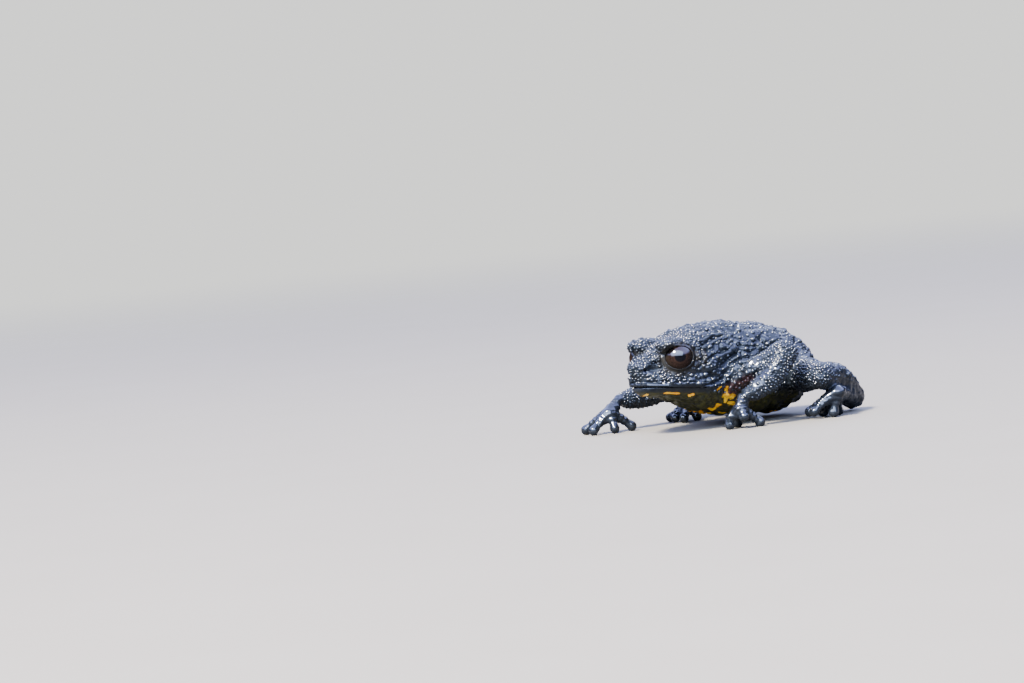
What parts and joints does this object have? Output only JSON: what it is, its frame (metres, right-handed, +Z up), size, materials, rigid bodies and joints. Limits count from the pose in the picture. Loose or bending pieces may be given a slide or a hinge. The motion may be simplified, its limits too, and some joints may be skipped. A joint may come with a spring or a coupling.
{
  "type": "bush toad",
  "caption": "Small warty bush toad standing in a slow walking pose, head slightly raised, thick blunt digits spread on the floor.",
  "frame": {"origin": "middle of the whole toad's footprint, on the floor that its hands and feet rest on", "axes": "+Z up, the head faces -Y, the toad's own left side is at +X"},
  "size_m": [0.0238, 0.0246, 0.0106],
  "materials": {
    "warty_skin": "wet glossy black skin set close with granules and warts",
    "smooth_skin": "wet glossy black skin, smooth over digits, sole and jaw",
    "eye": "polished dark red-brown iris with a black pupil under a clear cornea"
  },
  "bodies": {
    "root": {"head": "warty_skin", "lower_jaw": "smooth_skin", "torso": "warty_skin", "eye_left": "eye", "eye_right": "eye", "upper_arm_left": "warty_skin", "upper_arm_right": "warty_skin", "forearm_left": "warty_skin", "forearm_right": "warty_skin", "hand_left": "smooth_skin", "hand_right": "smooth_skin", "thigh_left": "warty_skin", "thigh_right": "warty_skin", "shank_left": "warty_skin", "shank_right": "warty_skin", "tarsus_left": "smooth_skin", "tarsus_right": "smooth_skin", "foot_left": "smooth_skin", "foot_right": "smooth_skin"}
  },
  "joints": []
}
